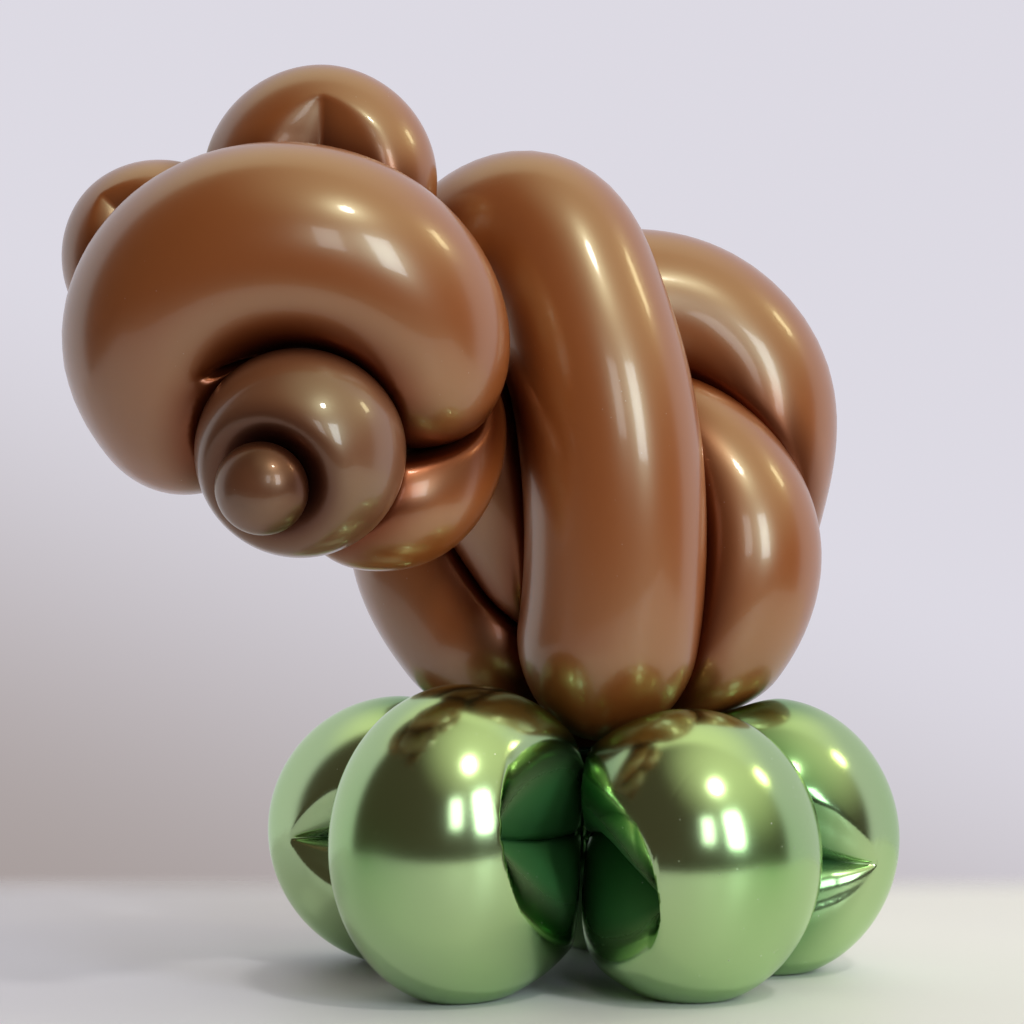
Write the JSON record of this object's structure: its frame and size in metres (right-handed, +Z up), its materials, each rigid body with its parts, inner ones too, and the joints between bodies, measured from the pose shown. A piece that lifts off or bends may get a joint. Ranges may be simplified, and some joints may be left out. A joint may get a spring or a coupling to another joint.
{
  "type": "balloon bear",
  "caption": "Bear twisted from round brown balloon bubbles, standing on a ring of folded green metallic ones that steadies it on a table.",
  "frame": {"origin": "middle of the footprint box, on the surface that the green bubbles rest on", "axes": "+Z up; the bear looks towards -Y with its face turned a little to -X"},
  "size_m": [0.2268, 0.2052, 0.2454],
  "materials": {
    "brown_balloon": "shiny pearl mocha-brown latex",
    "dark_brown_balloon": "shiny pearl latex, small bubbles of a duller purple-brown",
    "green_chrome_balloon": "metallic light green latex that reflects the room"
  },
  "bodies": {
    "root": {"nose": "dark_brown_balloon", "muzzle": "dark_brown_balloon", "forehead": "brown_balloon", "chin": "brown_balloon", "right_ear": "brown_balloon", "left_ear": "brown_balloon", "right_foreleg": "brown_balloon", "chest": "brown_balloon", "left_foreleg": "brown_balloon", "back": "brown_balloon", "right_hind_leg": "brown_balloon", "left_hind_leg": "brown_balloon", "base_front_left": "green_chrome_balloon", "base_front_right": "green_chrome_balloon", "base_right": "green_chrome_balloon", "base_left": "green_chrome_balloon", "base_back": "green_chrome_balloon"}
  },
  "joints": []
}
